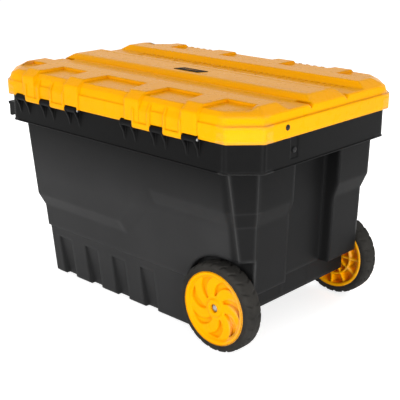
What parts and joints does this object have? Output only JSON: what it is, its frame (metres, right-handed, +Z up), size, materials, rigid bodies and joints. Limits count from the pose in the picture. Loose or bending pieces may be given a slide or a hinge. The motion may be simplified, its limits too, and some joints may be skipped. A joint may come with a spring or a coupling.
{
  "type": "jobsite storage box",
  "caption": "Wheeled storage box: tapered moulded tub, ridged hinged lid held by swing latches, wheels on an axle at one end and a tow grip at the other.",
  "frame": {"origin": "point on the floor under the middle of the lid", "axes": "+X along the box towards the wheels, +Y towards the latches, +Z up"},
  "size_m": [0.773, 0.512, 0.491],
  "materials": {
    "lid_yellow": "satin moulded plastic",
    "tub_black": "finely grained moulded plastic",
    "tyre_black": "dull moulded tread",
    "pin_steel": "zinc plated",
    "fastener_black": "black oxide",
    "badge_black": "bare satin plate"
  },
  "bodies": {
    "box": {"tub": "tub_black", "hinge_pin_left": "pin_steel", "hinge_pin_right": "pin_steel", "latch_pin_left": "pin_steel", "latch_pin_right": "pin_steel", "axle": "pin_steel", "axle_spacer_hinge_side": "tyre_black", "axle_spacer_latch_side": "tyre_black", "axle_cap_hinge_side": "pin_steel", "axle_cap_latch_side": "pin_steel", "tow_handle": "tub_black", "tow_handle_screws": "fastener_black", "tow_handle_nuts": "pin_steel", "rim_stay_screws": "fastener_black", "rim_stay_nuts": "pin_steel"},
    "lid": {"lid": "lid_yellow", "lid_badge": "badge_black", "lid_stay_screws": "fastener_black"},
    "wheel_hinge_side": {"wheel_hub_hinge_side": "lid_yellow", "tyre_hinge_side": "tyre_black"},
    "wheel_latch_side": {"wheel_hub_latch_side": "lid_yellow", "tyre_latch_side": "tyre_black"},
    "latch_left": {"latch_left": "tub_black"},
    "latch_right": {"latch_right": "tub_black"}
  },
  "joints": [
    {"name": "lid_hinge", "type": "hinge", "parent": "box", "child": "lid", "pos_m": [0, -0.2445, 0.4275], "axis": [1, 0, 0], "range_deg": [0, 100]},
    {"name": "wheel_spin_hinge_side", "type": "hinge", "parent": "box", "child": "wheel_hinge_side", "pos_m": [0.26, -0.193, 0.09], "axis": [0, 1, 0], "continuous": true},
    {"name": "wheel_spin_latch_side", "type": "hinge", "parent": "box", "child": "wheel_latch_side", "pos_m": [0.26, 0.193, 0.09], "axis": [0, 1, 0], "continuous": true},
    {"name": "latch_left_swing", "type": "hinge", "parent": "box", "child": "latch_left", "pos_m": [-0.184, 0.2505, 0.388], "axis": [1, 0, 0], "range_deg": [0, 180]},
    {"name": "latch_right_swing", "type": "hinge", "parent": "box", "child": "latch_right", "pos_m": [0.148, 0.2505, 0.388], "axis": [1, 0, 0], "range_deg": [0, 180]}
  ]
}
